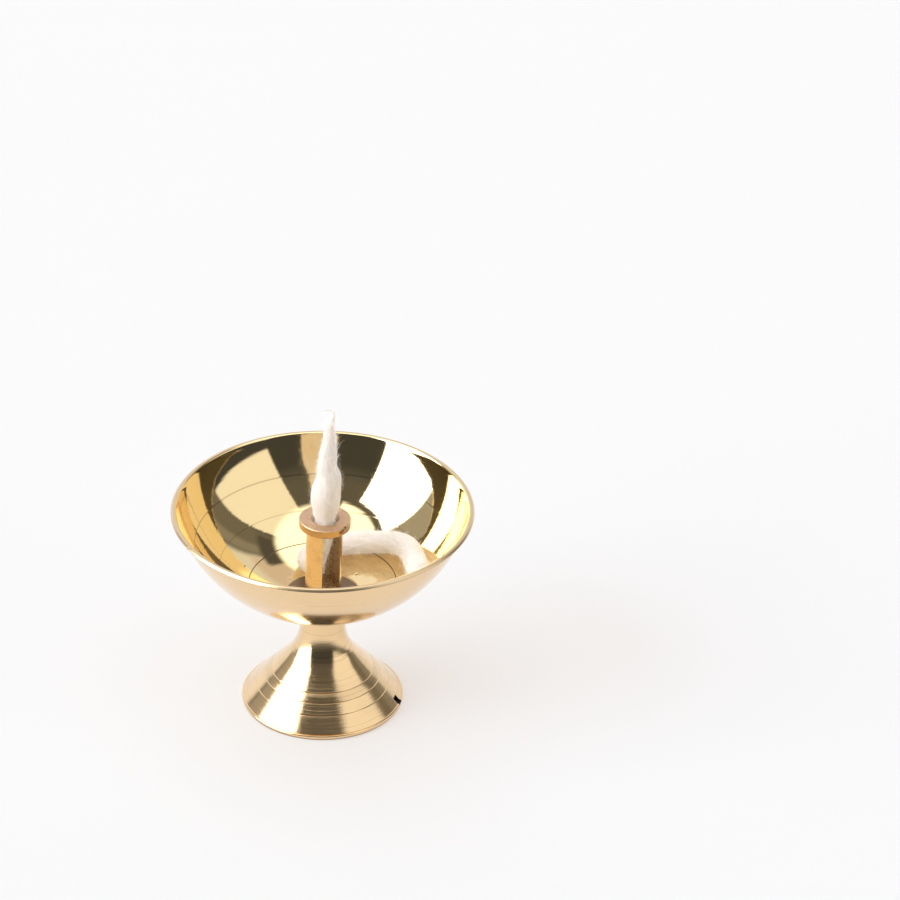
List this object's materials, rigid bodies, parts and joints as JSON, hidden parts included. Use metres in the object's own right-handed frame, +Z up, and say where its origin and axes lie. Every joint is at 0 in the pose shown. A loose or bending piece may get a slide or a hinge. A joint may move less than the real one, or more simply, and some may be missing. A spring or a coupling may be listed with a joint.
{
  "type": "butter lamp",
  "caption": "Small pedestal lamp: thin brass bowl with a lip on a flared hollow foot, and a slotted flanged post that holds a standing cotton wick.",
  "frame": {"origin": "centre of the foot's ring, on the surface that the lamp stands on", "axes": "+Z up the lamp's turning axis; +X to the right and +Y away in the picture's view"},
  "size_m": [0.07, 0.07, 0.0782],
  "materials": {
    "turned_brass": "fine turned lines, polished",
    "polished_brass": "mirror polished",
    "cast_brass": "polished outside, rough cast inside",
    "nut_brass": "dull",
    "cotton": "soft loose cotton roving"
  },
  "bodies": {
    "lamp": {"foot": "turned_brass", "bowl": "polished_brass", "wick_post": "cast_brass", "clamp_nut": "nut_brass", "wick_tail": "cotton"},
    "standing_wick": {"wick": "cotton"}
  },
  "joints": [
    {"name": "wick_feed", "type": "slide", "parent": "lamp", "child": "standing_wick", "axis": [0, 0, 1], "range_m": [0, 0.01]}
  ]
}
